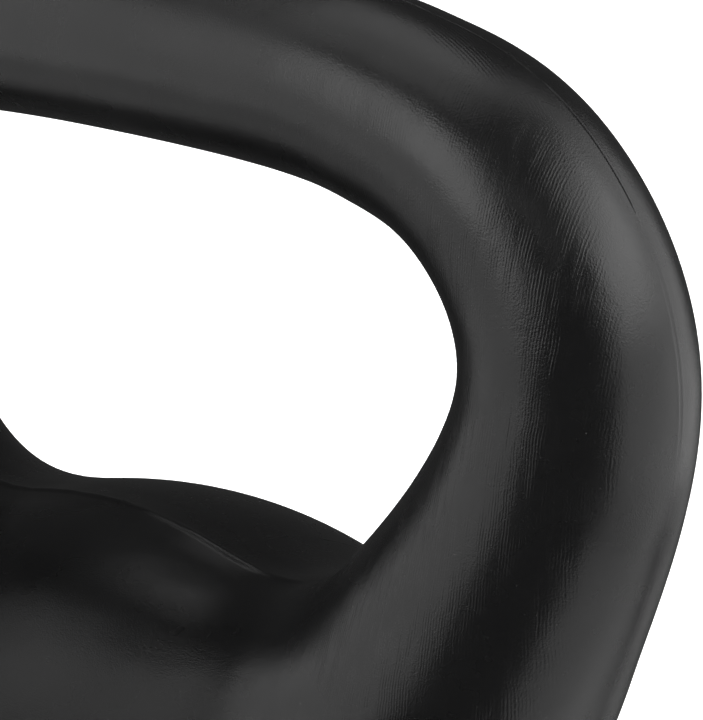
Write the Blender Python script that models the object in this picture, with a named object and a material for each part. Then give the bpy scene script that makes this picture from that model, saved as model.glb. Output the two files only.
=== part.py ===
"""Kettlebell: a blow-moulded plastic shell, the cement casting inside it, and the filler plug.

Metres, +Z up. The origin is on the floor under the middle of the body, +X runs along the grip,
and the handle lies in the XZ plane, which is also the plane where the two mould halves meet.
"""

import math

import bmesh
import bpy
import numpy as np

# Body: a ball that stands on a recessed base.
BODY_RADIUS = 0.090
BASE_SINK = 0.014  # how far below the floor a whole ball of that size would reach
BODY_CENTRE = BODY_RADIUS - BASE_SINK  # height above the floor
BASE_FILLET = 0.008  # between the ball and the flat standing ring
RECESS_RADIUS = 0.036
RECESS_DEPTH = 0.004
RECESS_DRAFT = 0.0015  # how far the recess wall leans in over its depth

# Handle: a tube of oval section along a smooth curve in the XZ plane. The curve is a B-spline,
# and these values place the corners of its polygon, from the middle of the grip into the ball.
HANDLE_RISE = 0.174  # from the ball's centre up to the grip's centreline
GRIP_HALF_LENGTH = 0.040
SHOULDER_START = (0.0565, 0.0043)  # distance from the middle, and drop below the grip
SHOULDER_END = (0.076, 0.0092)
HANDLE_HALF_SPREAD = 0.0983
SPREAD_DROP = 0.0398
NECK_OFFSET = (0.0074, 0.0137)  # from the root, outwards and up
ROOT_STANDOFF = 0.0112  # of the root from the ball's surface
ROOT_ELEVATION = math.radians(46.5)  # of the root, seen from the ball's centre
TAIL_OFFSET = (0.018, 0.038)  # from the root, inwards and down, so that the horn flows into the ball

# Section of the tube, measured in the handle's plane. Its depth along Y is larger.
GRIP_RADIUS = 0.016
SHOULDER_RADIUS = 0.0166
NECK_RADIUS = 0.0229
ROOT_RADIUS = 0.0277
DEPTH_RATIO = 1.18
ROOT_BLEND = 0.0235  # width of the soft fillet between the horns and the ball

# Shell wall, and the casting inside it.
WALL = 0.003
FILL_GAP = 0.0003

# Filler hole in the floor of the recess, and its plug.
FILLER_RADIUS = 0.014
PLUG_FIT = 0.0003
PLUG_WALL = 0.002
FLANGE_OVERLAP = 0.004  # how far the flange reaches past the hole
FLANGE_THICKNESS = 0.0018
FLANGE_EDGE = 0.0006
BEAD_HEIGHT = 0.0006  # how far the snap bead stands out past the hole
BEAD_LENGTH = 0.003
BEAD_RAMP = 0.002  # tapered part of the bead's length
STEM_LEAD = 0.002  # plain end of the stem above the bead

# Fineness of the meshes. CELLS is a multiple of 4: the ball has 4 * CELLS segments round it.
OUTER_CELLS = 12
INNER_CELLS = 8
OUTER_RING_SPACING = 0.0095
INNER_RING_SPACING = 0.014
CURVE_SAMPLES = 200
PROJECTION_STEPS = 8
SETTLE_STEPS = 12
LEAST_BAND_STEPS = 3  # loops of faces round a fillet or a horn's root, however coarse the mesh
TURNED_SEGMENTS = 32
SHARP_ANGLE = math.radians(35.0)
MERGE_DISTANCE = 0.00001


def clear_scene():
    for thing in list(bpy.data.objects):
        bpy.data.objects.remove(thing)


def make_material(name, colour, roughness):
    material = bpy.data.materials.new(name)
    material.use_nodes = True
    shader = material.node_tree.nodes["Principled BSDF"]
    shader.inputs["Base Color"].default_value = (*colour, 1.0)
    shader.inputs["Roughness"].default_value = roughness
    shader.inputs["Metallic"].default_value = 0.0
    return material


def add_object(name, mesh, material=None):
    thing = bpy.data.objects.new(name, mesh)
    bpy.context.scene.collection.objects.link(thing)
    if material is not None:
        mesh.materials.append(material)
    return thing


def shade(mesh):
    mesh.shade_smooth()
    mesh.set_sharp_from_angle(angle=SHARP_ANGLE)


def cut(thing, cutter):
    """Takes the cutter's solid out of an object, and keeps the cutter as a hidden guide."""
    cutter.hide_render = True
    cutter.display_type = "WIRE"
    boolean = thing.modifiers.new("cut_" + cutter.name, "BOOLEAN")
    boolean.operation = "DIFFERENCE"
    boolean.solver = "EXACT"
    boolean.object = cutter


def clamped_spline(corners, samples):
    """Points along the clamped uniform cubic B-spline of a polygon."""
    degree = 3
    corners = np.asarray(corners, float)
    inner = np.linspace(0.0, 1.0, len(corners) - degree + 1)
    knots = np.concatenate([np.zeros(degree), inner, np.ones(degree)])
    places = np.linspace(0.0, 1.0, samples)
    places[-1] -= 1e-12
    basis = [(knots[i] <= places) & (places < knots[i + 1]) for i in range(len(knots) - 1)]
    basis = [np.where(inside, 1.0, 0.0) for inside in basis]
    for order in range(1, degree + 1):
        for i in range(len(knots) - 1 - order):
            left = knots[i + order] - knots[i]
            right = knots[i + order + 1] - knots[i + 1]
            rising = (places - knots[i]) / left * basis[i] if left else 0.0
            falling = (knots[i + order + 1] - places) / right * basis[i + 1] if right else 0.0
            basis[i] = rising + falling
    return np.stack(basis[: len(corners)], axis=1) @ corners


def handle_curve():
    """Rows of x, z and section radius, from the middle of the grip down the right horn."""
    grip = BODY_CENTRE + HANDLE_RISE
    reach = BODY_RADIUS + ROOT_STANDOFF
    root_x = reach * math.cos(ROOT_ELEVATION)
    root_z = BODY_CENTRE + reach * math.sin(ROOT_ELEVATION)
    corners = [
        (0.0, grip, GRIP_RADIUS),
        (GRIP_HALF_LENGTH, grip, GRIP_RADIUS),
        (SHOULDER_START[0], grip - SHOULDER_START[1], GRIP_RADIUS),
        (SHOULDER_END[0], grip - SHOULDER_END[1], SHOULDER_RADIUS),
        (HANDLE_HALF_SPREAD, grip - SPREAD_DROP, SHOULDER_RADIUS),
        (root_x + NECK_OFFSET[0], root_z + NECK_OFFSET[1], NECK_RADIUS),
        (root_x, root_z, ROOT_RADIUS),
        (root_x - TAIL_OFFSET[0], root_z - TAIL_OFFSET[1], ROOT_RADIUS),
    ]
    return clamped_spline(corners, CURVE_SAMPLES)


def surface_field(points, curve):
    """Distance from the outer surface, negative inside, and the direction in which it grows.

    The ball and the handle's tube are each a simple distance, and a soft minimum of the two
    makes the fillet round the horns' roots.
    """
    start = curve[:-1, :2]
    run = np.diff(curve[:, :2], axis=0)
    swell = np.diff(curve[:, 2])
    x = np.abs(points[:, 0])[:, None] - start[:, 0]
    z = points[:, 2][:, None] - start[:, 1]
    along = np.clip((x * run[:, 0] + z * run[:, 1]) / (run**2).sum(axis=1), 0.0, 1.0)
    off_x = x - along * run[:, 0]
    off_z = z - along * run[:, 1]
    off_y = points[:, 1][:, None] / DEPTH_RATIO
    reach = np.sqrt(off_x**2 + off_y**2 + off_z**2)
    gap = reach - curve[:-1, 2] - along * swell
    rows = np.arange(len(points))
    nearest = gap.argmin(axis=1)
    tube = gap[rows, nearest]
    tube_slope = np.stack(
        [
            np.sign(points[:, 0]) * off_x[rows, nearest],
            points[:, 1] / DEPTH_RATIO**2,
            off_z[rows, nearest],
        ],
        axis=1,
    )
    tube_slope /= np.maximum(reach[rows, nearest], 1e-9)[:, None]

    from_centre = points - (0.0, 0.0, BODY_CENTRE)
    distance = np.linalg.norm(from_centre, axis=1)
    ball = distance - BODY_RADIUS
    ball_slope = from_centre / distance[:, None]

    share = np.clip(0.5 + 0.5 * (tube - ball) / ROOT_BLEND, 0.0, 1.0)
    value = tube * (1 - share) + ball * share - ROOT_BLEND * share * (1 - share)
    slope = tube_slope * (1 - share)[:, None] + ball_slope * share[:, None]
    return value, slope


def on_surface(points, curve):
    """The points moved onto the outer surface."""
    for _ in range(PROJECTION_STEPS):
        value, slope = surface_field(points, curve)
        points = points - (value / (slope**2).sum(axis=1))[:, None] * slope
    return points


def settle(points, faces, fixed, curve):
    """Evens out the spacing of the points on the surface, and leaves the fixed ones in place."""
    pairs = {tuple(sorted((face[at - 1], face[at]))) for face in faces for at in range(len(face))}
    pairs = np.array(sorted(pairs))
    ends = np.concatenate([pairs, pairs[:, ::-1]])
    count = np.bincount(ends[:, 0], minlength=len(points))[:, None]
    free = np.ones(len(points), bool)
    free[fixed] = False
    for _ in range(SETTLE_STEPS):
        total = np.zeros_like(points)
        np.add.at(total, ends[:, 0], points[ends[:, 1]])
        points[free] = (0.5 * points + 0.5 * total / count)[free]
        points[free] = on_surface(points[free], curve)
    return points


def base_profile(inset, cells):
    """(radius, height) from just below the ball's equator down to the middle of the recess."""
    fillet_x = math.sqrt((BODY_RADIUS - BASE_FILLET) ** 2 - (BODY_CENTRE - BASE_FILLET) ** 2)
    tangent = math.atan2(BODY_CENTRE - BASE_FILLET, fillet_x)
    fillet_steps = max(cells // 3, LEAST_BAND_STEPS)
    ball_steps = fillet_steps + cells // 3
    profile = []
    for step in range(1, ball_steps + 1):
        angle = tangent * step / ball_steps
        radius = BODY_RADIUS - inset
        profile.append((radius * math.cos(angle), BODY_CENTRE - radius * math.sin(angle)))
    for step in range(1, fillet_steps + 1):
        angle = tangent + (math.pi / 2 - tangent) * step / fillet_steps
        radius = BASE_FILLET - inset
        x = fillet_x + radius * math.cos(angle)
        profile.append((x, BASE_FILLET - radius * math.sin(angle)))
    profile.append((RECESS_RADIUS + inset, inset))
    profile.append((RECESS_RADIUS - RECESS_DRAFT + inset, RECESS_DEPTH + inset))
    profile.append((FILLER_RADIUS + FLANGE_OVERLAP + WALL, RECESS_DEPTH + inset))
    return profile


def ball_direction(key, cells):
    """Direction of a grid point of the cube round the ball, spread at equal angles."""
    spread = [math.tan(math.pi / 4 * (2 * index / cells - 1)) for index in key]
    length = math.sqrt(sum(value * value for value in spread))
    return [value / length for value in spread]


def upper_grid(cells):
    """Faces of the cube's upper half as rings of grid keys, without the two horn patches."""
    half = cells // 2
    quarter = cells // 4
    faces = []
    for i in range(cells):
        for j in range(cells):
            horn = quarter <= j < cells - quarter and not quarter <= i < cells - quarter
            if not horn:
                corners = [(i, j), (i + 1, j), (i + 1, j + 1), (i, j + 1)]
                faces.append([(x, y, cells) for x, y in corners])
    for i in range(cells):
        for k in range(half, cells):
            horn = quarter <= i < cells - quarter and k >= cells - quarter
            corners = [(i, k), (i + 1, k), (i + 1, k + 1), (i, k + 1)]
            for side in (0, cells):
                faces.append([(x, side, z) for x, z in corners])
                if not horn:
                    faces.append([(side, y, z) for y, z in corners])
    return faces


def equator_keys(cells):
    """Grid keys round the equator, anticlockwise seen from above."""
    level = cells // 2
    keys = [(cells, j, level) for j in range(cells)]
    keys += [(i, cells, level) for i in range(cells, 0, -1)]
    keys += [(0, j, level) for j in range(cells, 0, -1)]
    keys += [(i, 0, level) for i in range(cells)]
    return keys


def horn_border(cells):
    """Grid keys round the right horn's patch, from its outer middle towards +Y."""
    half = cells // 2
    low = cells // 4
    high = cells - low
    keys = [(cells, j, high) for j in range(half, high)]
    keys += [(cells, high, k) for k in range(high, cells)]
    keys += [(i, high, cells) for i in range(cells, high, -1)]
    keys += [(high, j, cells) for j in range(high, low, -1)]
    keys += [(i, low, cells) for i in range(high, cells)]
    keys += [(cells, low, k) for k in range(cells, high, -1)]
    keys += [(cells, j, high) for j in range(low, half)]
    return keys


def tube_rings(curve, cells, spacing):
    """Rings of 2 * CELLS points round the handle, from the right horn to the left one."""
    pieces = np.linalg.norm(np.diff(curve[:, :2], axis=0), axis=1)
    lengths = np.concatenate([[0.0], np.cumsum(pieces)])
    clear = np.hypot(curve[:, 0], curve[:, 1] - BODY_CENTRE) > BODY_RADIUS + NECK_RADIUS
    last = lengths[clear].max()
    half_count = math.ceil(last / spacing)
    tangent = np.gradient(curve[:, :2], lengths, axis=0)
    tangent /= np.linalg.norm(tangent, axis=1)[:, None]
    rings = []
    for step in range(half_count, -half_count - 1, -1):
        place = abs(step) / half_count * last
        x, z, radius = (np.interp(place, lengths, curve[:, column]) for column in range(3))
        run_x, run_z = (np.interp(place, lengths, tangent[:, column]) for column in range(2))
        side = -1.0 if step < 0 else 1.0
        ring = []
        for index in range(2 * cells):
            angle = math.pi * index / cells
            out = radius * math.cos(angle)
            depth = radius * DEPTH_RATIO * math.sin(angle)
            ring.append((side * (x - out * run_z), depth, z + out * run_x))
        rings.append(ring)
    return rings


def rings_between(near, far, steps):
    """The rings that lie between two rings, evenly spaced on straight lines."""
    near = np.asarray(near)
    far = np.asarray(far)
    return [list(near + (far - near) * step / steps) for step in range(1, steps)]


def form_mesh(name, inset, cells, spacing):
    """Closed mesh of the outer surface moved inwards by the inset: ball, horns and grip."""
    curve = handle_curve()
    points = []
    faces = []
    index_of = {}
    for face in upper_grid(cells):
        for key in face:
            if key not in index_of:
                index_of[key] = len(points)
                x, y, z = (BODY_RADIUS * value for value in ball_direction(key, cells))
                points.append((x, y, BODY_CENTRE + z))
        faces.append([index_of[key] for key in face])

    right = [index_of[key] for key in horn_border(cells)]
    left = [index_of[(cells - i, j, k)] for i, j, k in horn_border(cells)]
    rings = tube_rings(curve, cells, spacing)
    steps = max(cells // 3, LEAST_BAND_STEPS)
    right_root = rings_between([points[at] for at in right], rings[0], steps)
    left_root = rings_between(rings[-1], [points[at] for at in left], steps)
    loops = [right]
    for ring in right_root + rings + left_root:
        loops.append(list(range(len(points), len(points) + len(ring))))
        points.extend(ring)
    loops.append(left)
    add_bands(faces, loops)

    equator = [index_of[key] for key in equator_keys(cells)]
    grip = sum(loops[steps:-steps], [])
    points = on_surface(np.asarray(points, float), curve)
    points = settle(points, faces, equator + grip, curve)
    slope = surface_field(points, curve)[1]
    points = list(points - inset * slope / np.linalg.norm(slope, axis=1)[:, None])

    loops = [equator]
    for radius, height in base_profile(inset, cells):
        loops.append(list(range(len(points), len(points) + len(equator))))
        for key in equator_keys(cells):
            direction = ball_direction(key, cells)
            points.append((radius * direction[0], radius * direction[1], height))
    add_bands(faces, loops)
    faces.append(loops[-1])

    mesh = bpy.data.meshes.new(name)
    mesh.from_pydata([tuple(point) for point in points], [], faces)
    finish_faces(mesh)
    return mesh


def add_bands(faces, loops):
    """Four-sided faces between neighbouring loops of equal length."""
    for near, far in zip(loops, loops[1:]):
        for index in range(len(near)):
            after = (index + 1) % len(near)
            faces.append([near[index], near[after], far[after], far[index]])


def finish_faces(mesh):
    """Turns the faces outwards, and splits them all alike, so that meshes one inset apart nest."""
    work = bmesh.new()
    work.from_mesh(mesh)
    bmesh.ops.recalc_face_normals(work, faces=work.faces)
    quads = [face for face in work.faces if len(face.verts) == 4]
    bmesh.ops.triangulate(work, faces=quads, quad_method="FIXED")
    work.to_mesh(mesh)
    work.free()


def cylinder(name, radius, low, high):
    mesh = bpy.data.meshes.new(name)
    work = bmesh.new()
    bmesh.ops.create_cone(
        work,
        cap_ends=True,
        segments=TURNED_SEGMENTS,
        radius1=radius,
        radius2=radius,
        depth=high - low,
    )
    bmesh.ops.translate(work, verts=work.verts, vec=(0.0, 0.0, (low + high) / 2))
    work.to_mesh(mesh)
    work.free()
    return add_object(name, mesh)


def make_shell(material):
    mesh = form_mesh("shell", 0.0, OUTER_CELLS, OUTER_RING_SPACING)
    shell = add_object("shell", mesh, material)
    shade(mesh)
    cavity = add_object("cavity", form_mesh("cavity", WALL, INNER_CELLS, INNER_RING_SPACING))
    cut(shell, cavity)
    hole = cylinder("filler_hole", FILLER_RADIUS, RECESS_DEPTH - WALL, RECESS_DEPTH + 2 * WALL)
    cut(shell, hole)
    return shell


def make_ballast(material):
    mesh = form_mesh("ballast", WALL + FILL_GAP, INNER_CELLS, INNER_RING_SPACING)
    ballast = add_object("ballast", mesh, material)
    shade(mesh)
    top = plug_top() + 2 * PLUG_FIT
    pocket = cylinder("plug_pocket", FILLER_RADIUS + BEAD_HEIGHT + 2 * PLUG_FIT, 0.0, top)
    cut(ballast, pocket)
    return ballast


def plug_top():
    return RECESS_DEPTH + WALL + PLUG_FIT + BEAD_LENGTH + STEM_LEAD


def make_plug(material):
    """A push-in cap: a flange under the recess floor, a hollow stem, and a snap bead over the wall."""
    stem = FILLER_RADIUS - PLUG_FIT
    bore = stem - PLUG_WALL
    seat = RECESS_DEPTH - PLUG_FIT
    bottom = seat - FLANGE_THICKNESS
    flange = FILLER_RADIUS + FLANGE_OVERLAP
    top = plug_top()
    bead_low = RECESS_DEPTH + WALL + PLUG_FIT
    profile = [
        (0.0, seat),
        (bore, seat),
        (bore, top),
        (stem - FLANGE_EDGE, top),
        (stem, top - FLANGE_EDGE),
        (stem, bead_low + BEAD_LENGTH),
        (FILLER_RADIUS + BEAD_HEIGHT, bead_low + BEAD_LENGTH - BEAD_RAMP),
        (FILLER_RADIUS + BEAD_HEIGHT, bead_low),
        (stem, bead_low),
        (stem, seat),
        (flange, seat),
        (flange, bottom + FLANGE_EDGE),
        (flange - FLANGE_EDGE, bottom),
        (0.0, bottom),
    ]
    work = bmesh.new()
    corners = [work.verts.new((x, 0.0, z)) for x, z in profile]
    for near, far in zip(corners, corners[1:]):
        work.edges.new((near, far))
    bmesh.ops.spin(
        work,
        geom=work.verts[:] + work.edges[:],
        cent=(0.0, 0.0, 0.0),
        axis=(0.0, 0.0, 1.0),
        angle=2 * math.pi,
        steps=TURNED_SEGMENTS,
        use_merge=True,
    )
    bmesh.ops.remove_doubles(work, verts=work.verts, dist=MERGE_DISTANCE)
    bmesh.ops.recalc_face_normals(work, faces=work.faces)
    mesh = bpy.data.meshes.new("filler_plug")
    work.to_mesh(mesh)
    work.free()
    plug = add_object("filler_plug", mesh, material)
    shade(mesh)
    return plug


def main():
    clear_scene()
    shell_plastic = make_material("shell_plastic", (0.016, 0.016, 0.017), 0.48)
    cement = make_material("cement", (0.36, 0.35, 0.33), 0.95)
    plug_plastic = make_material("plug_plastic", (0.02, 0.02, 0.021), 0.55)
    make_shell(shell_plastic)
    make_ballast(cement)
    make_plug(plug_plastic)


main()
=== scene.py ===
"""Studio scene of the kettlebell: a fine blow-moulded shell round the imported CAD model.

The shell repeats the CAD surface from the same driving dimensions, at a finer mesh, and adds what
moulding leaves on the plastic: the parting line, the weld bead and the die lines. Metres, +Z up.
"""

import math

import bmesh
import bpy
import numpy as np
from mathutils import Matrix, Vector


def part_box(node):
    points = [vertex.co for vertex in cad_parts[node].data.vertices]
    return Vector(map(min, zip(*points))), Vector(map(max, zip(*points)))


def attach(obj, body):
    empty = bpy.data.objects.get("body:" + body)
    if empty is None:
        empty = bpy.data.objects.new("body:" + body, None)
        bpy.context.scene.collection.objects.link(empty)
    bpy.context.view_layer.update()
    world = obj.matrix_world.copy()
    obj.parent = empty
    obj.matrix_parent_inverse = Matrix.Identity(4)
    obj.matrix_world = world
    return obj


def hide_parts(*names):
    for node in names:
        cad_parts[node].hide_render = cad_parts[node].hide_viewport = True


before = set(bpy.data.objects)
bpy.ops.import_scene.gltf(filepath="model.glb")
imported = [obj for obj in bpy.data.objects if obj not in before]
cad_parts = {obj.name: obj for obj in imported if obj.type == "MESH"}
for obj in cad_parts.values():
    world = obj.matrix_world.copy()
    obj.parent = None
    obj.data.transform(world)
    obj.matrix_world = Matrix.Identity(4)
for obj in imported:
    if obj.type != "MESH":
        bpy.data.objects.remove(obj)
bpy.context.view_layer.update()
_, shell_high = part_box("shell")

# Body and handle. These repeat the CAD values that the frame's boxes don't give.
BODY_RADIUS = shell_high.y
BASE_SINK = 0.014
BODY_CENTRE = BODY_RADIUS - BASE_SINK
BASE_FILLET = 0.008
RECESS_RADIUS = 0.036
RECESS_DEPTH = 0.004
RECESS_DRAFT = 0.0015
RIM_CHAMFER = 0.0004
GRIP_RADIUS = 0.016
GRIP_HEIGHT = shell_high.z - GRIP_RADIUS
GRIP_HALF_LENGTH = 0.040
SHOULDER_START = (0.0565, 0.0043)
SHOULDER_END = (0.076, 0.0092)
HANDLE_HALF_SPREAD = 0.0983
SPREAD_DROP = 0.0398
NECK_OFFSET = (0.0074, 0.0137)
ROOT_STANDOFF = 0.0112
ROOT_ELEVATION = math.radians(46.5)
TAIL_OFFSET = (0.018, 0.038)
SHOULDER_RADIUS = 0.0166
NECK_RADIUS = 0.0229
ROOT_RADIUS = 0.0277
DEPTH_RATIO = 1.18
ROOT_BLEND = 0.0235
WALL = 0.003
FILLER_RADIUS = 0.014

# Fineness. A grid of cells by cells covers each side of the cube round the ball.
CAGE_CELLS = 16
FINE_CELLS = 64
CAGE_RING_SPACING = 0.006
FINE_RING_SPACING = 0.0014
CURVE_SAMPLES = 240
PROJECTION_STEPS = 8
SETTLE_STEPS = 30
POINTS_AT_ONCE = 6000

# Rows of points close beside the mould's parting plane, y = 0, on each side of it.
SEAM_ROWS = (0.0001, 0.0002, 0.00034, 0.0005, 0.00075, 0.0011, 0.0016)
SEAM_CELL = 0.00095  # usual width of a fine cell beside the seam

# The parting line on the handle's outer side, by distance along the handle from the grip's middle.
RIDGE_END = 0.0725
GROOVE_START = 0.0735
GROOVE_END = 0.0918
GROOVE_SHALLOW_END = 0.45  # depth where the groove starts, as a share of its full depth
TRACKS_START = 0.097
TRACKS_END = 0.117

# Cross-sections of the mould's marks: height, offset from the parting plane, and half width.
RIDGE = (0.00009, 0.0, 0.00045)
GROOVE = (-0.00022, 0.0, 0.00018)
GROOVE_LIPS = (0.00005, 0.0005, 0.0004)
LEFT_RIDGE = (0.00010, 0.0, 0.0005)
TRACKS = (0.00004, 0.0006, 0.0004)
LOWER_RIDGE = (0.000015, 0.0, 0.0006)
WINDOW_LINE = (0.00006, 0.0, 0.0005)
CROWN_BEAD = (0.00042, 0.0, 0.0016)
SIDE_LINE = (0.00010, 0.0, 0.0006)

# The weld bead covers the crown above this height over the ball's centre, and this far out in x.
CROWN_BEAD_LOW = 0.035
CROWN_BEAD_REACH = 0.06
CROWN_BEAD_FADE = 0.02

# How the marks' height wanders along the seam: sine waves by share, radians per metre and phase.
SEAM_WANDER = ((0.15, 410, 0), (0.10, 1130, 1), (0.05, 2710, 0))

# Die lines and puckers, by distance along the handle from the grip's middle.
DRAWN_START = 0.058
DRAWN_FADE = 0.03
DRAWN_CLEAR_OF_SEAM = 0.0075
DIE_LINE_SCALE = 720.0  # bands 0.44 mm apart in x
DIE_LINE_TURN = math.radians(-9)
FEATHER_START = 0.061
FEATHER_END = 0.076
FEATHER_NEAR = 0.0008  # the puckers lie this far and
FEATHER_FAR = 0.0085  # that far from the parting plane
FEATHER_ANGLE = math.radians(20)
FEATHER_SPACING = 0.0006

# A fine line across the back half of the crown: its x at the bead, lean, reach in y and half width.
CROWN_LINE_X = 0.0200
CROWN_LINE_LEAN = 0.11
CROWN_LINE_REACH = 0.036
CROWN_LINE_HALF_WIDTH = 0.0005

# The plastic, and the heights of its finish, which are bump in the material.
PLASTIC_COLOUR = (0.0028, 0.0028, 0.0029)
SCUFF_COLOUR = (0.06, 0.06, 0.058)
WAVE_HEIGHT = 0.0005
RIPPLE_HEIGHT = 0.00004
STREAK_HEIGHT = 0.00010
DIE_LINE_HEIGHT = 0.000019
FINE_LINE_HEIGHT = 0.000018
PUCKER_HEIGHT = 0.000008
CROWN_LINE_HEIGHT = 0.00014
PEEL_HEIGHT = 0.000018
GRAIN_HEIGHT = 0.000034

SHARP_ANGLE = math.radians(35)  # edges that turn more than this are shaded sharp


# ---------------------------------------------------------------- the moulded surface


def clamped_spline(corners, samples):
    """Points along the clamped uniform cubic B-spline of a polygon."""
    degree = 3
    corners = np.asarray(corners, float)
    inner = np.linspace(0.0, 1.0, len(corners) - degree + 1)
    knots = np.concatenate([np.zeros(degree), inner, np.ones(degree)])
    places = np.linspace(0.0, 1.0, samples)
    places[-1] -= 1e-12
    basis = [(knots[i] <= places) & (places < knots[i + 1]) for i in range(len(knots) - 1)]
    basis = [np.where(inside, 1.0, 0.0) for inside in basis]
    for order in range(1, degree + 1):
        for i in range(len(knots) - 1 - order):
            left = knots[i + order] - knots[i]
            right = knots[i + order + 1] - knots[i + 1]
            rising = (places - knots[i]) / left * basis[i] if left else 0.0
            falling = (knots[i + order + 1] - places) / right * basis[i + 1] if right else 0.0
            basis[i] = rising + falling
    return np.stack(basis[: len(corners)], axis=1) @ corners


def handle_curve():
    """Rows of x, z and section radius, from the middle of the grip down the right horn."""
    reach = BODY_RADIUS + ROOT_STANDOFF
    root_x = reach * math.cos(ROOT_ELEVATION)
    root_z = BODY_CENTRE + reach * math.sin(ROOT_ELEVATION)
    corners = [
        (0.0, GRIP_HEIGHT, GRIP_RADIUS),
        (GRIP_HALF_LENGTH, GRIP_HEIGHT, GRIP_RADIUS),
        (SHOULDER_START[0], GRIP_HEIGHT - SHOULDER_START[1], GRIP_RADIUS),
        (SHOULDER_END[0], GRIP_HEIGHT - SHOULDER_END[1], SHOULDER_RADIUS),
        (HANDLE_HALF_SPREAD, GRIP_HEIGHT - SPREAD_DROP, SHOULDER_RADIUS),
        (root_x + NECK_OFFSET[0], root_z + NECK_OFFSET[1], NECK_RADIUS),
        (root_x, root_z, ROOT_RADIUS),
        (root_x - TAIL_OFFSET[0], root_z - TAIL_OFFSET[1], ROOT_RADIUS),
    ]
    return clamped_spline(corners, CURVE_SAMPLES)


CURVE = handle_curve()
CURVE_LENGTHS = np.concatenate([[0.0], np.cumsum(np.hypot(*np.diff(CURVE[:, :2], axis=0).T))])


def surface_field(points):
    """How far points are outside the surface, the slope of that, and where they are on the handle.

    The last result has three columns: the distance along the handle from the grip's middle, the
    offset from the handle's centreline towards its outer side, and the ball's share of the surface.
    """
    start = CURVE[:-1, :2]
    run = np.diff(CURVE[:, :2], axis=0)
    swell = np.diff(CURVE[:, 2])
    x = np.abs(points[:, 0])[:, None] - start[:, 0]
    z = points[:, 2][:, None] - start[:, 1]
    along = np.clip((x * run[:, 0] + z * run[:, 1]) / (run**2).sum(axis=1), 0.0, 1.0)
    off_x = x - along * run[:, 0]
    off_z = z - along * run[:, 1]
    off_y = points[:, 1][:, None] / DEPTH_RATIO
    reach = np.sqrt(off_x**2 + off_y**2 + off_z**2)
    gap = reach - CURVE[:-1, 2] - along * swell
    rows = np.arange(len(points))
    nearest = gap.argmin(axis=1)
    tube = gap[rows, nearest]
    off_x, off_z, along = (values[rows, nearest] for values in (off_x, off_z, along))
    tube_slope = np.stack(
        [np.sign(points[:, 0]) * off_x, points[:, 1] / DEPTH_RATIO**2, off_z], axis=1
    )
    tube_slope /= np.maximum(reach[rows, nearest], 1e-9)[:, None]

    from_centre = points - (0.0, 0.0, BODY_CENTRE)
    distance = np.linalg.norm(from_centre, axis=1)
    ball = distance - BODY_RADIUS
    ball_slope = from_centre / distance[:, None]

    share = np.clip(0.5 + 0.5 * (tube - ball) / ROOT_BLEND, 0.0, 1.0)
    value = tube * (1 - share) + ball * share - ROOT_BLEND * share * (1 - share)
    slope = tube_slope * (1 - share)[:, None] + ball_slope * share[:, None]

    lengths = CURVE_LENGTHS[nearest] + along * np.diff(CURVE_LENGTHS)[nearest]
    outward = (off_z * run[nearest, 0] - off_x * run[nearest, 1]) / np.hypot(*run[nearest].T)
    return value, slope, np.stack([lengths, outward, share], axis=1)


def field_in_parts(points):
    """The surface field of many points, worked out a part at a time to save memory."""
    parts = np.array_split(points, len(points) // POINTS_AT_ONCE + 1)
    return [np.concatenate(values) for values in zip(*map(surface_field, parts))]


def on_surface(points, held_y=None):
    """The points moved onto the outer surface. A point with a held y stays at that y."""
    points = np.array(points, float)
    held = np.zeros(len(points), bool) if held_y is None else ~np.isnan(held_y)
    if held_y is not None:
        points[held, 1] = held_y[held]
    for _ in range(PROJECTION_STEPS):
        value, slope, _ = field_in_parts(points)
        slope[held, 1] = 0.0
        points -= (value / (slope**2).sum(axis=1))[:, None] * slope
    return points


def settle(points, faces, fixed):
    """Evens out the spacing of the points on the surface, and leaves the fixed ones in place."""
    pairs = {tuple(sorted((face[at - 1], face[at]))) for face in faces for at in range(len(face))}
    pairs = np.array(sorted(pairs))
    ends = np.concatenate([pairs, pairs[:, ::-1]])
    count = np.bincount(ends[:, 0], minlength=len(points))[:, None]
    free = np.ones(len(points), bool)
    free[fixed] = False
    for _ in range(SETTLE_STEPS):
        total = np.zeros_like(points)
        np.add.at(total, ends[:, 0], points[ends[:, 1]])
        points[free] = (0.5 * points + 0.5 * total / count)[free]
        points[free] = on_surface(points[free])
    return points


# ---------------------------------------------------------------- grids on the surface


def ball_point(key, cells):
    """Point of the ball under a grid point of the cube round it, spread at equal angles."""
    spread = [math.tan(math.pi / 4 * (2 * index / cells - 1)) for index in key]
    length = math.sqrt(sum(value * value for value in spread))
    x, y, z = (BODY_RADIUS * value / length for value in spread)
    return (x, y, BODY_CENTRE + z)


def upper_grid(cells):
    """Faces of the cube's upper half as rings of grid keys, without the two horn patches."""
    half = cells // 2
    quarter = cells // 4
    faces = []
    for i in range(cells):
        for j in range(cells):
            horn = quarter <= j < cells - quarter and not quarter <= i < cells - quarter
            if not horn:
                corners = [(i, j), (i + 1, j), (i + 1, j + 1), (i, j + 1)]
                faces.append([(x, y, cells) for x, y in corners])
    for i in range(cells):
        for k in range(half, cells):
            horn = quarter <= i < cells - quarter and k >= cells - quarter
            corners = [(i, k), (i + 1, k), (i + 1, k + 1), (i, k + 1)]
            for side in (0, cells):
                faces.append([(x, side, z) for x, z in corners])
                if not horn:
                    faces.append([(side, y, z) for y, z in corners])
    return faces


def equator_keys(cells):
    """Grid keys round the equator, anticlockwise seen from above."""
    level = cells // 2
    keys = [(cells, j, level) for j in range(cells)]
    keys += [(i, cells, level) for i in range(cells, 0, -1)]
    keys += [(0, j, level) for j in range(cells, 0, -1)]
    keys += [(i, 0, level) for i in range(cells)]
    return keys


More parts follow.
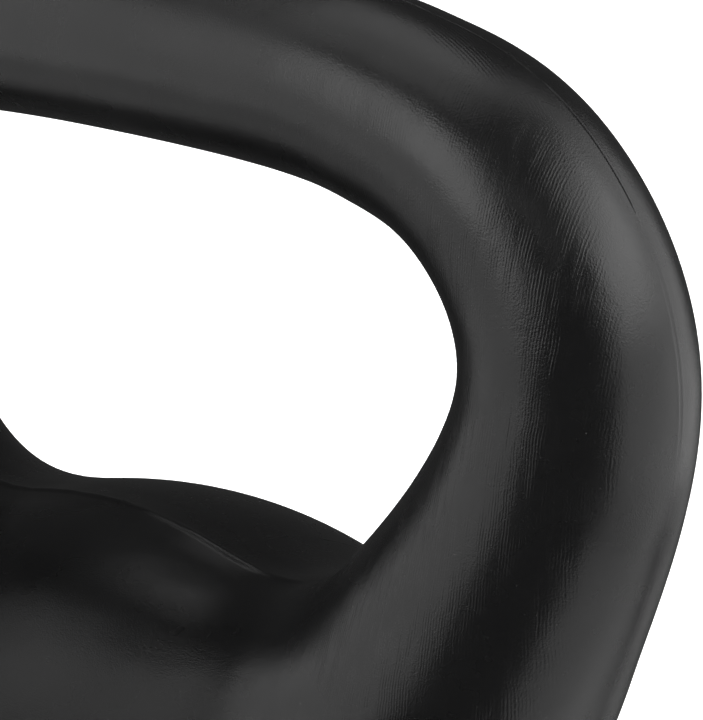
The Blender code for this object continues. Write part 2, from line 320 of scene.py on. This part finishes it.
def horn_border(cells, side):
    """Grid keys round a horn's patch, from its outer middle towards +Y. Side is 1 or -1."""
    half = cells // 2
    low = cells // 4
    high = cells - low
    keys = [(cells, j, high) for j in range(half, high)]
    keys += [(cells, high, k) for k in range(high, cells)]
    keys += [(i, high, cells) for i in range(cells, high, -1)]
    keys += [(high, j, cells) for j in range(high, low, -1)]
    keys += [(i, low, cells) for i in range(high, cells)]
    keys += [(cells, low, k) for k in range(cells, high, -1)]
    keys += [(cells, j, high) for j in range(low, half)]
    return keys if side > 0 else [(cells - i, j, k) for i, j, k in keys]


def seam_place(step, cells):
    """Where a grid line lies that many steps from the seam, counted in steps of an even grid."""
    rows = len(SEAM_ROWS)
    quarter = cells // 4
    edge = SEAM_ROWS[-1] / SEAM_CELL
    size = abs(step)
    if cells != FINE_CELLS or size == 0 or size >= quarter:
        return step
    if size <= rows:
        return math.copysign(SEAM_ROWS[size - 1] / SEAM_CELL, step)
    return math.copysign(edge + (quarter - edge) * (size - rows) / (quarter - rows), step)


def seam_y(step, cells):
    """The y at which a grid line that many steps from the seam is held, or NaN where it is free."""
    if cells != FINE_CELLS or abs(step) > len(SEAM_ROWS):
        return math.nan
    return math.copysign(SEAM_ROWS[abs(step) - 1], step) if step else 0.0


def steps_from_seam(index, cells):
    """Signed steps from the nearer seam for a place in a ring of 2 * CELLS round the handle."""
    half = cells // 2
    if index <= half:
        return index
    return cells - index if index <= cells + half else index - 2 * cells


def ring_places(cells):
    """Places round the handle, counted in steps of an even grid from the outer seam."""
    places = []
    for index in range(2 * cells):
        step = steps_from_seam(index, cells)
        moved = seam_place(step, cells) - step
        outer_half = index <= cells // 2 or index > cells * 3 // 2
        places.append(index + moved if outer_half else index - moved)
    return np.array(places, float)


def ring_ys(cells):
    return [seam_y(steps_from_seam(index, cells), cells) for index in range(2 * cells)]


def tube_rings(cells, spacing):
    """Rings of 2 * CELLS points round the handle, from the right horn to the left one."""
    clear = np.hypot(CURVE[:, 0], CURVE[:, 1] - BODY_CENTRE) > BODY_RADIUS + NECK_RADIUS
    last = CURVE_LENGTHS[clear].max()
    half_count = math.ceil(last / spacing)
    tangent = np.gradient(CURVE[:, :2], CURVE_LENGTHS, axis=0)
    tangent /= np.linalg.norm(tangent, axis=1)[:, None]
    angles = math.pi * ring_places(cells) / cells
    rings = []
    for step in range(half_count, -half_count - 1, -1):
        place = abs(step) / half_count * last
        x, z, radius = (np.interp(place, CURVE_LENGTHS, CURVE[:, column]) for column in range(3))
        run_x, run_z = (np.interp(place, CURVE_LENGTHS, tangent[:, column]) for column in range(2))
        side = -1.0 if step < 0 else 1.0
        out = radius * np.cos(angles)
        depth = radius * DEPTH_RATIO * np.sin(angles)
        rings.append(np.stack([side * (x - out * run_z), depth, z + out * run_x], axis=1))
    return rings


def read_grid(grid, key, cells):
    """A grid point of a finer grid, read between the four cage points round it."""
    scale = CAGE_CELLS / cells
    half = cells // 2
    places = [key[0] * scale, (half + seam_place(key[1] - half, cells)) * scale, key[2] * scale]
    across = 2 if key[2] == cells else (0 if key[0] in (0, cells) else 1)
    axes = [axis for axis in range(3) if axis != across]
    total = np.zeros(3)
    for steps in ((0, 0), (0, 1), (1, 0), (1, 1)):
        corner = [0, 0, 0]
        corner[across] = round(places[across])
        weight = 1.0
        for axis, step in zip(axes, steps):
            floor = min(int(places[axis]), CAGE_CELLS - 1)
            corner[axis] = floor + step
            weight *= abs(1 - step - (places[axis] - floor))
        if weight > 1e-9:
            total += weight * grid[tuple(corner)]
    return total


def read_loops(loops, cells, count):
    """Finer loops between the first and last of the cage's loops round a horn's root."""
    closed = np.concatenate([loops, loops[:, :1]], axis=1)
    places = ring_places(cells) * CAGE_CELLS / cells
    floors = np.minimum(places.astype(int), 2 * CAGE_CELLS - 1)
    shares = (places - floors)[:, None]
    found = []
    for level in range(1, count):
        place = level / count * (len(loops) - 1)
        floor = int(place)
        row = closed[floor] * (floor + 1 - place) + closed[floor + 1] * (place - floor)
        found.append(row[floors] * (1 - shares) + row[floors + 1] * shares)
    return found


def add_bands(faces, loops):
    """Four-sided faces between neighbouring loops of equal length."""
    for near, far in zip(loops, loops[1:]):
        for index in range(len(near)):
            after = (index + 1) % len(near)
            faces.append([near[index], near[after], far[after], far[index]])


def settled_cage():
    """The coarse grid with even spacing: its points by key, and its loops round both roots."""
    cells = CAGE_CELLS
    points = []
    faces = []
    index_of = {}
    for face in upper_grid(cells):
        for key in face:
            if key not in index_of:
                index_of[key] = len(points)
                points.append(ball_point(key, cells))
        faces.append([index_of[key] for key in face])
    rings = tube_rings(cells, CAGE_RING_SPACING)
    steps = cells // 3
    fixed = [index_of[key] for key in equator_keys(cells)]
    roots = []
    for side, ring in ((1, rings[0]), (-1, rings[-1])):
        border = [index_of[key] for key in horn_border(cells, side)]
        loops = [border]
        start = np.array([points[at] for at in border])
        for step in range(1, steps + 1):
            loops.append(list(range(len(points), len(points) + len(border))))
            points.extend(map(tuple, start + (ring - start) * step / steps))
        add_bands(faces, loops)
        fixed += loops[-1]
        roots.append(loops)
    points = settle(on_surface(points), faces, fixed)
    grid = {key: points[at] for key, at in index_of.items()}
    return grid, [np.array([points[loop] for loop in loops]) for loops in roots]


def base_profile(inset, cells):
    """(radius, height) from just below the ball's equator down to the filler hole's edge."""
    fillet_x = math.sqrt((BODY_RADIUS - BASE_FILLET) ** 2 - (BODY_CENTRE - BASE_FILLET) ** 2)
    tangent = math.atan2(BODY_CENTRE - BASE_FILLET, fillet_x)
    ball_steps = cells * 5 // 8
    fillet_steps = cells // 5
    profile = []
    for step in range(1, ball_steps + 1):
        angle = tangent * step / ball_steps
        radius = BODY_RADIUS - inset
        profile.append((radius * math.cos(angle), BODY_CENTRE - radius * math.sin(angle)))
    for step in range(1, fillet_steps + 1):
        angle = tangent + (math.pi / 2 - tangent) * step / fillet_steps
        radius = BASE_FILLET - inset
        profile.append((fillet_x + radius * math.cos(angle), BASE_FILLET - radius * math.sin(angle)))
    profile.append((RECESS_RADIUS + inset + RIM_CHAMFER, inset))
    profile.append((RECESS_RADIUS + inset, inset + RIM_CHAMFER))
    profile.append((RECESS_RADIUS - RECESS_DRAFT + inset, RECESS_DEPTH + inset - RIM_CHAMFER))
    profile.append((RECESS_RADIUS - RECESS_DRAFT + inset - RIM_CHAMFER, RECESS_DEPTH + inset))
    profile.append((FILLER_RADIUS, RECESS_DEPTH + inset))
    return profile


def skin(cage, cells, spacing, inset):
    """One side of the shell's wall: its points, faces, and last loop, round the filler hole."""
    grid, roots = cage
    half = cells // 2
    points = []
    faces = []
    held = []
    index_of = {}
    for face in upper_grid(cells):
        for key in face:
            if key not in index_of:
                index_of[key] = len(points)
                points.append(read_grid(grid, key, cells))
                on_seam_face = key[1] not in (0, cells)
                held.append(seam_y(key[1] - half, cells) if on_seam_face else math.nan)
        faces.append([index_of[key] for key in face])

    rings = tube_rings(cells, spacing)
    count = (len(roots[0]) - 1) * cells // CAGE_CELLS
    rows = read_loops(roots[0], cells, count) + rings + read_loops(roots[1], cells, count)[::-1]
    loops = [[index_of[key] for key in horn_border(cells, 1)]]
    for row in rows:
        loops.append(list(range(len(points), len(points) + len(row))))
        points.extend(row)
        held.extend(ring_ys(cells))
    loops.append([index_of[key] for key in horn_border(cells, -1)])
    add_bands(faces, loops)

    points = on_surface(points, np.array(held))
    slope = field_in_parts(points)[1]
    points -= inset * slope / np.linalg.norm(slope, axis=1)[:, None]

    keys = equator_keys(cells)
    equator = [index_of[key] for key in keys]
    around = points[equator][:, :2] / np.linalg.norm(points[equator][:, :2], axis=1)[:, None]
    beside = [seam_y(j - half, cells) if i in (0, cells) else math.nan for i, j, _ in keys]
    beside = np.array(beside)
    close = ~np.isnan(beside)
    loops = [equator]
    for radius, height in base_profile(inset, cells):
        ring = np.column_stack([radius * around, np.full(len(keys), height)])
        ring[close, 1] = beside[close]
        ring[close, 0] = np.sign(around[close, 0]) * np.sqrt(radius**2 - beside[close] ** 2)
        loops.append(list(range(len(points), len(points) + len(keys))))
        points = np.concatenate([points, ring])
    add_bands(faces, loops)
    return points, faces, loops[-1]


# ---------------------------------------------------------------- marks of the mould


def between(values, low=-math.inf, high=math.inf, *, fade):
    """1 where the values lie between the limits, falling smoothly to 0 past them."""
    inside = np.minimum(values - low, high - values) / fade + 0.5
    inside = np.clip(inside, 0.0, 1.0)
    return inside**2 * (3 - 2 * inside)


def mark(y, section):
    """Height of a smooth ridge or groove on each side of the parting plane."""
    height, offset, half_width = section
    return height * np.clip(1 - ((np.abs(y) - offset) / half_width) ** 2, 0.0, 1.0) ** 2


def uneven(lengths):
    """A slow wander between about 0.7 and 1.3 along the seam, as hand trimming leaves."""
    return 1 + sum(part * np.sin(lengths * rate + phase) for part, rate, phase in SEAM_WANDER)


def relief(points, places):
    """Height of the mould's marks above the plain surface, in metres."""
    x, y, z = points.T
    lengths, outward, share = places.T
    handle = between(share, high=0.5, fade=0.5)
    outer = handle * (outward > 0)
    window = handle * (outward <= 0)
    body = 1 - handle
    high = between(z, low=BODY_CENTRE + CROWN_BEAD_LOW, fade=CROWN_BEAD_FADE)
    crown = body * high * between(np.abs(x), high=CROWN_BEAD_REACH, fade=CROWN_BEAD_FADE)
    wander = uneven(np.copysign(lengths, x) + x + z)

    groove_span = between(lengths, GROOVE_START, GROOVE_END, fade=0.0012)
    groove = outer * (x > 0) * groove_span
    groove_share = (lengths - GROOVE_START) / (GROOVE_END - GROOVE_START)
    deepening = np.clip(groove_share, GROOVE_SHALLOW_END, 1.0)

    height = outer * between(lengths, high=RIDGE_END, fade=0.004) * mark(y, RIDGE)
    height += groove * deepening * mark(y, GROOVE)
    height += groove * mark(y, GROOVE_LIPS)
    height += outer * (x < 0) * groove_span * mark(y, LEFT_RIDGE)
    height += outer * between(lengths, TRACKS_START, TRACKS_END, fade=0.006) * mark(y, TRACKS)
    height += outer * between(lengths, low=TRACKS_END, fade=0.01) * mark(y, LOWER_RIDGE)
    height += window * mark(y, WINDOW_LINE)
    height += crown * mark(y, CROWN_BEAD)
    height += body * (1 - high) * mark(y, SIDE_LINE)
    return height * wander


def die_line_strength(points, slope, places):
    """How strongly the vertical die lines show: fully on the front and back of the horns."""
    lengths, _, share = places.T
    handle = between(share, high=0.5, fade=0.5)
    horn = handle * between(lengths, low=DRAWN_START, fade=DRAWN_FADE)
    clear_of_seam = between(np.abs(points[:, 1]), low=DRAWN_CLEAR_OF_SEAM, fade=0.006)
    # The lines fade where the surface faces sideways, and nearly vanish where it faces up.
    sideways, _, facing_up = (slope / np.linalg.norm(slope, axis=1)[:, None]).T
    kept = np.clip(1.7 - 1.6 * sideways**2, 0.0, 1.0) * np.clip(1.9 - 1.8 * facing_up, 0.15, 1.0)
    return kept * (0.25 + 0.75 * horn * clear_of_seam + 0.3 * (1 - handle))


def feather_strength(points, places):
    """Where the plastic puckered beside the parting line, at the shoulders."""
    lengths, outward, _ = places.T
    beside = between(np.abs(points[:, 1]), FEATHER_NEAR, FEATHER_FAR, fade=0.003)
    return beside * (outward > 0) * between(lengths, FEATHER_START, FEATHER_END, fade=0.008)


def crown_line_strength(points, places):
    """Where the fine line shows: on the back half of the crown, from the bead outwards."""
    top = (places[:, 2] > 0.5) & (points[:, 2] > BODY_CENTRE)
    return top * between(points[:, 1], 0.001, CROWN_LINE_REACH, fade=0.002)


def feather_phase(points, places):
    """Turns along the puckers' pattern: they leave the parting line at a shallow angle."""
    out, along = np.abs(points[:, 1]), places[:, 0]
    across = out * math.cos(FEATHER_ANGLE) - along * math.sin(FEATHER_ANGLE)
    return 2 * math.pi * across / FEATHER_SPACING


def add_object(name, data):
    thing = bpy.data.objects.new(name, data)
    bpy.context.scene.collection.objects.link(thing)
    return thing


def shade(mesh):
    mesh.shade_smooth()
    mesh.set_sharp_from_angle(angle=SHARP_ANGLE)


def make_shell():
    """The closed shell: the marked outer skin, and the plain inner side of its wall."""
    cage = settled_cage()
    outer, faces, outer_rim = skin(cage, FINE_CELLS, FINE_RING_SPACING, 0.0)
    _, slope, places = field_in_parts(outer)
    normal = slope / np.linalg.norm(slope, axis=1)[:, None]
    on_skin = outer[:, 2] > BASE_FILLET
    marked = outer + (relief(outer, places) * on_skin)[:, None] * normal

    inner, inner_faces, inner_rim = skin(cage, CAGE_CELLS, CAGE_RING_SPACING, WALL)
    first = len(marked)
    faces += [[first + at for at in reversed(face)] for face in inner_faces]
    ratio = FINE_CELLS // CAGE_CELLS
    for index in range(len(inner_rim)):
        after = (index + 1) % len(inner_rim)
        rim = [outer_rim[(index * ratio + step) % len(outer_rim)] for step in range(ratio + 1)]
        faces.append(rim + [first + inner_rim[after], first + inner_rim[index]])

    mesh = bpy.data.meshes.new("moulded_shell")
    points = np.concatenate([marked, inner])
    mesh.from_pydata(points.tolist(), [], faces)
    work = bmesh.new()
    work.from_mesh(mesh)
    bmesh.ops.recalc_face_normals(work, faces=work.faces)
    work.to_mesh(mesh)
    work.free()
    shade(mesh)
    _, slope, places = field_in_parts(points)
    for name, values in (
        ("drawn", die_line_strength(points, slope, places)),
        ("feather", feather_strength(points, places)),
        ("feather_phase", feather_phase(points, places)),
        ("crown_line", crown_line_strength(points, places)),
    ):
        mesh.attributes.new(name, "FLOAT", "POINT").data.foreach_set("value", values)
    return add_object("moulded_shell", mesh)


# ---------------------------------------------------------------- materials


def new_material(name, colour, roughness):
    material = bpy.data.materials.new(name)
    material.use_nodes = True
    shader = material.node_tree.nodes["Principled BSDF"]
    shader.inputs["Base Color"].default_value = (*colour, 1.0)
    shader.inputs["Roughness"].default_value = roughness
    return material, material.node_tree, shader


def add_node(tree, kind, **values):
    """A node with its properties, and its input sockets by name, with _ for a space."""
    node = tree.nodes.new(kind)
    for name, value in values.items():
        if hasattr(node, name):
            setattr(node, name, value)
        else:
            node.inputs[name.replace("_", " ")].default_value = value
    return node


def transformed(tree, vector, socket, value):
    """The vector through a Mapping node with that Scale or Rotation."""
    node = add_node(tree, "ShaderNodeMapping")
    node.inputs[socket].default_value = value
    tree.links.new(vector, node.inputs["Vector"])
    return node.outputs["Vector"]


def attribute(tree, name):
    return add_node(tree, "ShaderNodeAttribute", attribute_name=name).outputs["Fac"]


def noise(tree, vector, scale, detail=2.0, roughness=0.5):
    node = add_node(tree, "ShaderNodeTexNoise", Scale=scale, Detail=detail, Roughness=roughness)
    tree.links.new(vector, node.inputs["Vector"])
    return node.outputs["Fac"]


def mapped(tree, value, limits, new_limits):
    """The value moved from one pair of limits to another, and kept within them."""
    names = ("From Min", "From Max", "To Min", "To Max")
    node = add_node(tree, "ShaderNodeMapRange")
    for name, amount in zip(names, (*limits, *new_limits)):
        node.inputs[name].default_value = amount
    tree.links.new(value, node.inputs["Value"])
    return node.outputs["Result"]


def times(tree, first, second):
    node = add_node(tree, "ShaderNodeMath", operation="MULTIPLY")
    tree.links.new(first, node.inputs[0])
    tree.links.new(second, node.inputs[1])
    return node.outputs["Value"]


def bumped(tree, height, distance, after=None):
    """The shading normal with a height added to it, in metres, on top of an earlier bump."""
    node = add_node(tree, "ShaderNodeBump", Distance=distance, Strength=1.0)
    tree.links.new(height, node.inputs["Height"])
    if after is not None:
        tree.links.new(after, node.inputs["Normal"])
    return node.outputs["Normal"]


def crown_line_height(tree, place):
    """A fine raised line straight across the crown, beside the weld bead."""
    across = add_node(tree, "ShaderNodeVectorMath", operation="DOT_PRODUCT")
    across.inputs[1].default_value = (1.0, -CROWN_LINE_LEAN, 0.0)
    tree.links.new(place, across.inputs[0])
    offset = add_node(tree, "ShaderNodeMath", operation="SUBTRACT")
    tree.links.new(across.outputs["Value"], offset.inputs[0])
    offset.inputs[1].default_value = CROWN_LINE_X
    distance = add_node(tree, "ShaderNodeMath", operation="ABSOLUTE")
    tree.links.new(offset.outputs["Value"], distance.inputs[0])
    return mapped(tree, distance.outputs["Value"], (0.0, CROWN_LINE_HALF_WIDTH), (1.0, 0.0))


def shell_material():
    """Matt black polyethylene: ripples, lengthwise die lines, puckers, orange peel and scuffs."""
    material, tree, shader = new_material("moulded_plastic", PLASTIC_COLOUR, 0.4)
    shader.inputs["IOR"].default_value = 1.5
    place = add_node(tree, "ShaderNodeTexCoord").outputs["Object"]
    centred = (-0.5, 0.5)

    # Die lines run along the handle, in groups: crisp ones that break off, fine ones and streaks.
    drawn = attribute(tree, "drawn")
    drawn_place = transformed(tree, place, "Rotation", (0.0, 0.0, DIE_LINE_TURN))
    lines = add_node(tree, "ShaderNodeTexWave", Scale=DIE_LINE_SCALE, Distortion=5.0, Detail=2.0)
    lines.inputs["Detail Scale"].default_value = 0.25
    tree.links.new(drawn_place, lines.inputs["Vector"])
    crisp_lines = mapped(tree, lines.outputs["Fac"], (0.3, 0.85), centred)
    breaks = transformed(tree, drawn_place, "Scale", (800.0, 110.0, 110.0))
    breaks = noise(tree, breaks, 1.0, detail=1.0)
    crisp_lines = times(tree, crisp_lines, mapped(tree, breaks, (0.40, 0.56), (0.1, 1.0)))
    fine_lines = transformed(tree, drawn_place, "Scale", (2400.0, 60.0, 60.0))
    fine_lines = mapped(tree, noise(tree, fine_lines, 1.0, roughness=0.55), (0.0, 1.0), centred)
    streaks = transformed(tree, drawn_place, "Scale", (260.0, 14.0, 14.0))
    streaks = mapped(tree, noise(tree, streaks, 1.0), (0.0, 1.0), centred)
    groups = mapped(tree, noise(tree, place, 70.0), (0.36, 0.56), (0.15, 1.0))
    shown = times(tree, groups, drawn)

    puckers = add_node(tree, "ShaderNodeMath", operation="SINE")
    tree.links.new(attribute(tree, "feather_phase"), puckers.inputs[0])
    puckers = times(tree, puckers.outputs["Value"], attribute(tree, "feather"))
    crown_line = times(tree, crown_line_height(tree, place), attribute(tree, "crown_line"))

    normal = None
    for height, distance in (
        (noise(tree, place, 60.0, detail=1.0, roughness=0.4), WAVE_HEIGHT),
        (noise(tree, place, 220.0), RIPPLE_HEIGHT),
        (times(tree, streaks, drawn), STREAK_HEIGHT),
        (times(tree, crisp_lines, shown), DIE_LINE_HEIGHT),
        (times(tree, fine_lines, shown), FINE_LINE_HEIGHT),
        (puckers, PUCKER_HEIGHT),
        (crown_line, CROWN_LINE_HEIGHT),
        (noise(tree, place, 1500.0, roughness=0.6), PEEL_HEIGHT),
        (noise(tree, place, 3600.0, detail=1.0), GRAIN_HEIGHT),
    ):
        normal = bumped(tree, height, distance, after=normal)
    tree.links.new(normal, shader.inputs["Normal"])

    patches = noise(tree, place, 45.0, detail=4.0, roughness=0.6)
    tree.links.new(mapped(tree, patches, (0.3, 0.7), (0.23, 0.32)), shader.inputs["Roughness"])

    dust = noise(tree, place, 2600.0, detail=1.0)
    colour = add_node(tree, "ShaderNodeMix", data_type="RGBA")
    colour.inputs["A"].default_value = (*PLASTIC_COLOUR, 1.0)
    colour.inputs["B"].default_value = (*SCUFF_COLOUR, 1.0)
    tree.links.new(mapped(tree, dust, (0.76, 0.84), (0.0, 0.6)), colour.inputs["Factor"])
    tree.links.new(colour.outputs["Result"], shader.inputs["Base Color"])
    return material


def cement_material():
    """Grey cast cement, cloudy in colour, with a sandy grain."""
    material, tree, shader = new_material("cement", (0.36, 0.35, 0.33), 0.92)
    place = add_node(tree, "ShaderNodeTexCoord").outputs["Object"]
    grain = noise(tree, place, 900.0, detail=5.0, roughness=0.7)
    cloud = noise(tree, place, 50.0, detail=4.0, roughness=0.6)
    ramp = add_node(tree, "ShaderNodeValToRGB")
    ramp.color_ramp.elements[0].color = (0.24, 0.235, 0.22, 1.0)
    ramp.color_ramp.elements[1].color = (0.46, 0.45, 0.42, 1.0)
    tree.links.new(cloud, ramp.inputs["Fac"])
    tree.links.new(ramp.outputs["Color"], shader.inputs["Base Color"])
    tree.links.new(bumped(tree, grain, 0.0008), shader.inputs["Normal"])
    return material


def plug_material():
    """The plug's softer black plastic, with a fine grain."""
    material, tree, shader = new_material("plug_plastic", (0.02, 0.02, 0.021), 0.5)
    place = add_node(tree, "ShaderNodeTexCoord").outputs["Object"]
    grain = noise(tree, place, 1800.0, detail=3.0, roughness=0.6)
    patches = noise(tree, place, 120.0)
    tree.links.new(mapped(tree, patches, (0.3, 0.7), (0.45, 0.58)), shader.inputs["Roughness"])
    tree.links.new(bumped(tree, grain, 0.00006), shader.inputs["Normal"])
    return material


def backdrop_material():
    """Pale studio sweep, lit from within so that it stays even right to the horizon."""
    material, _, shader = new_material("pale_sweep", (0.80, 0.80, 0.80), 0.9)
    shader.inputs["Emission Color"].default_value = (1.0, 1.0, 1.0, 1.0)
    shader.inputs["Emission Strength"].default_value = 0.80
    shader.inputs["Specular IOR Level"].default_value = 0.0
    return material


# ---------------------------------------------------------------- studio

VIEW_AZIMUTH = 37.095
VIEW_ELEVATION = 16.124
VIEW_ROLL = 2.995
VIEW_DISTANCE = 0.3676
VIEW_TARGET = Vector((0.0477, 0.0, GRIP_HEIGHT - 0.0463))
LENS = 112.9
SENSOR_WIDTH = 36.0
LAMP_AIM_HEIGHT = 0.18
LAMP_DISTANCE = 1.0
WORLD_GREY = 0.05
FLOOR_HEIGHT = -0.0002  # just clear of the standing ring
FLOOR_REACH = 5.0
COVE_RADIUS = 1.5
COVE_STEPS = 12
WALL_TOP = 7.0
SWEEP_SIDES = 96


def toward(azimuth, elevation):
    """Unit vector from the object towards a viewer at that azimuth and elevation, in degrees."""
    a, e = math.radians(azimuth), math.radians(elevation)
    return Vector((math.sin(a) * math.cos(e), -math.cos(a) * math.cos(e), math.sin(e)))


def facing(position, target, roll=0.0):
    """Matrix of a camera or lamp at a position that looks at the target, rolled anticlockwise."""
    back = (position - target).normalized()
    right = Vector((0.0, 0.0, 1.0)).cross(back).normalized()
    up = back.cross(right)
    r = math.radians(roll)
    axes = (right * math.cos(r) + up * math.sin(r), up * math.cos(r) - right * math.sin(r), back)
    return Matrix.Translation(position) @ Matrix(axes).transposed().to_4x4()


def make_camera():
    data = bpy.data.cameras.new("camera")
    data.lens = LENS
    data.sensor_width = SENSOR_WIDTH
    data.clip_start = 0.01
    camera = add_object("camera", data)
    position = VIEW_TARGET + VIEW_DISTANCE * toward(VIEW_AZIMUTH, VIEW_ELEVATION)
    camera.matrix_world = facing(position, VIEW_TARGET, VIEW_ROLL)
    bpy.context.scene.camera = camera


def soft_box(name, bearing, elevation, width, height, radiance):
    """A rectangular lamp that looks at the handle. Its bearing is in degrees from the camera's."""
    data = bpy.data.lights.new(name, "AREA")
    data.shape = "RECTANGLE"
    data.size = width
    data.size_y = height
    data.energy = radiance * math.pi * width * height
    lamp = add_object(name, data)
    centre = Vector((0.0, 0.0, LAMP_AIM_HEIGHT))
    position = centre + LAMP_DISTANCE * toward(VIEW_AZIMUTH + bearing, elevation)
    lamp.matrix_world = facing(position, centre)
    lamp.visible_camera = False


def make_sweep(material):
    """Floor and wall of one pale sheet, turned round the object, open at the top."""
    profile = [(0.0, FLOOR_HEIGHT), (1.0, FLOOR_HEIGHT), (FLOOR_REACH, FLOOR_HEIGHT)]
    for step in range(1, COVE_STEPS + 1):
        angle = math.pi / 2 * step / COVE_STEPS
        out = FLOOR_REACH + COVE_RADIUS * math.sin(angle)
        profile.append((out, FLOOR_HEIGHT + COVE_RADIUS * (1 - math.cos(angle))))
    profile.append((FLOOR_REACH + COVE_RADIUS, WALL_TOP))
    work = bmesh.new()
    corners = [work.verts.new((x, 0.0, z)) for x, z in profile]
    for near, far in zip(corners, corners[1:]):
        work.edges.new((near, far))
    bmesh.ops.spin(
        work,
        geom=work.verts[:] + work.edges[:],
        cent=(0.0, 0.0, 0.0),
        axis=(0.0, 0.0, 1.0),
        angle=2 * math.pi,
        steps=SWEEP_SIDES,
        use_merge=True,
    )
    bmesh.ops.remove_doubles(work, verts=work.verts, dist=0.0001)
    mesh = bpy.data.meshes.new("studio_sweep")
    work.to_mesh(mesh)
    work.free()
    mesh.shade_smooth()
    mesh.materials.append(material)
    sweep = add_object("studio_sweep", mesh)
    sweep.visible_glossy = False
    sweep.visible_shadow = False
    return sweep


def make_studio():
    """The pale sweep, the lamps and a faint grey world."""
    make_sweep(backdrop_material())
    soft_box("left_key", -43.0, 29.0, 0.8, 0.8, 1.35)
    soft_box("left_wide", -78.0, 14.0, 1.9, 1.5, 0.93)
    soft_box("right_key", 75.0, 36.0, 0.75, 0.68, 1.75)
    soft_box("right_wide", 90.0, 9.0, 1.8, 1.35, 1.0)
    soft_box("right_top", 120.0, 50.0, 0.35, 0.4, 0.6)
    soft_box("right_back", 134.0, -24.0, 0.3, 0.6, 0.34)
    soft_box("front_fill", 10.0, 40.0, 0.16, 0.2, 1.0)
    soft_box("left_back", -136.0, -10.0, 0.12, 0.5, 0.45)
    soft_box("low_left", -95.0, -38.0, 1.0, 0.6, 0.48)
    soft_box("low_right", 76.0, -43.0, 1.1, 0.6, 0.75)
    soft_box("overhead", -140.0, 80.0, 1.0, 0.86, 0.76)
    soft_box("rim", 178.0, 76.0, 0.35, 0.2, 0.3)
    world = bpy.data.worlds.new("studio")
    world.use_nodes = True
    background = world.node_tree.nodes["Background"]
    background.inputs["Color"].default_value = (WORLD_GREY, WORLD_GREY, WORLD_GREY, 1.0)
    background.inputs["Strength"].default_value = 1.0
    bpy.context.scene.world = world
    bpy.context.scene.view_settings.view_transform = "Standard"


# ---------------------------------------------------------------- assembly


def main():
    shell = make_shell()
    shell.data.materials.append(shell_material())
    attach(shell, "root")
    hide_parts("shell")

    for node, material in (("ballast", cement_material()), ("filler_plug", plug_material())):
        thing = bpy.data.objects[node]
        thing.data.materials.clear()
        thing.data.materials.append(material)

    make_camera()
    make_studio()


main()
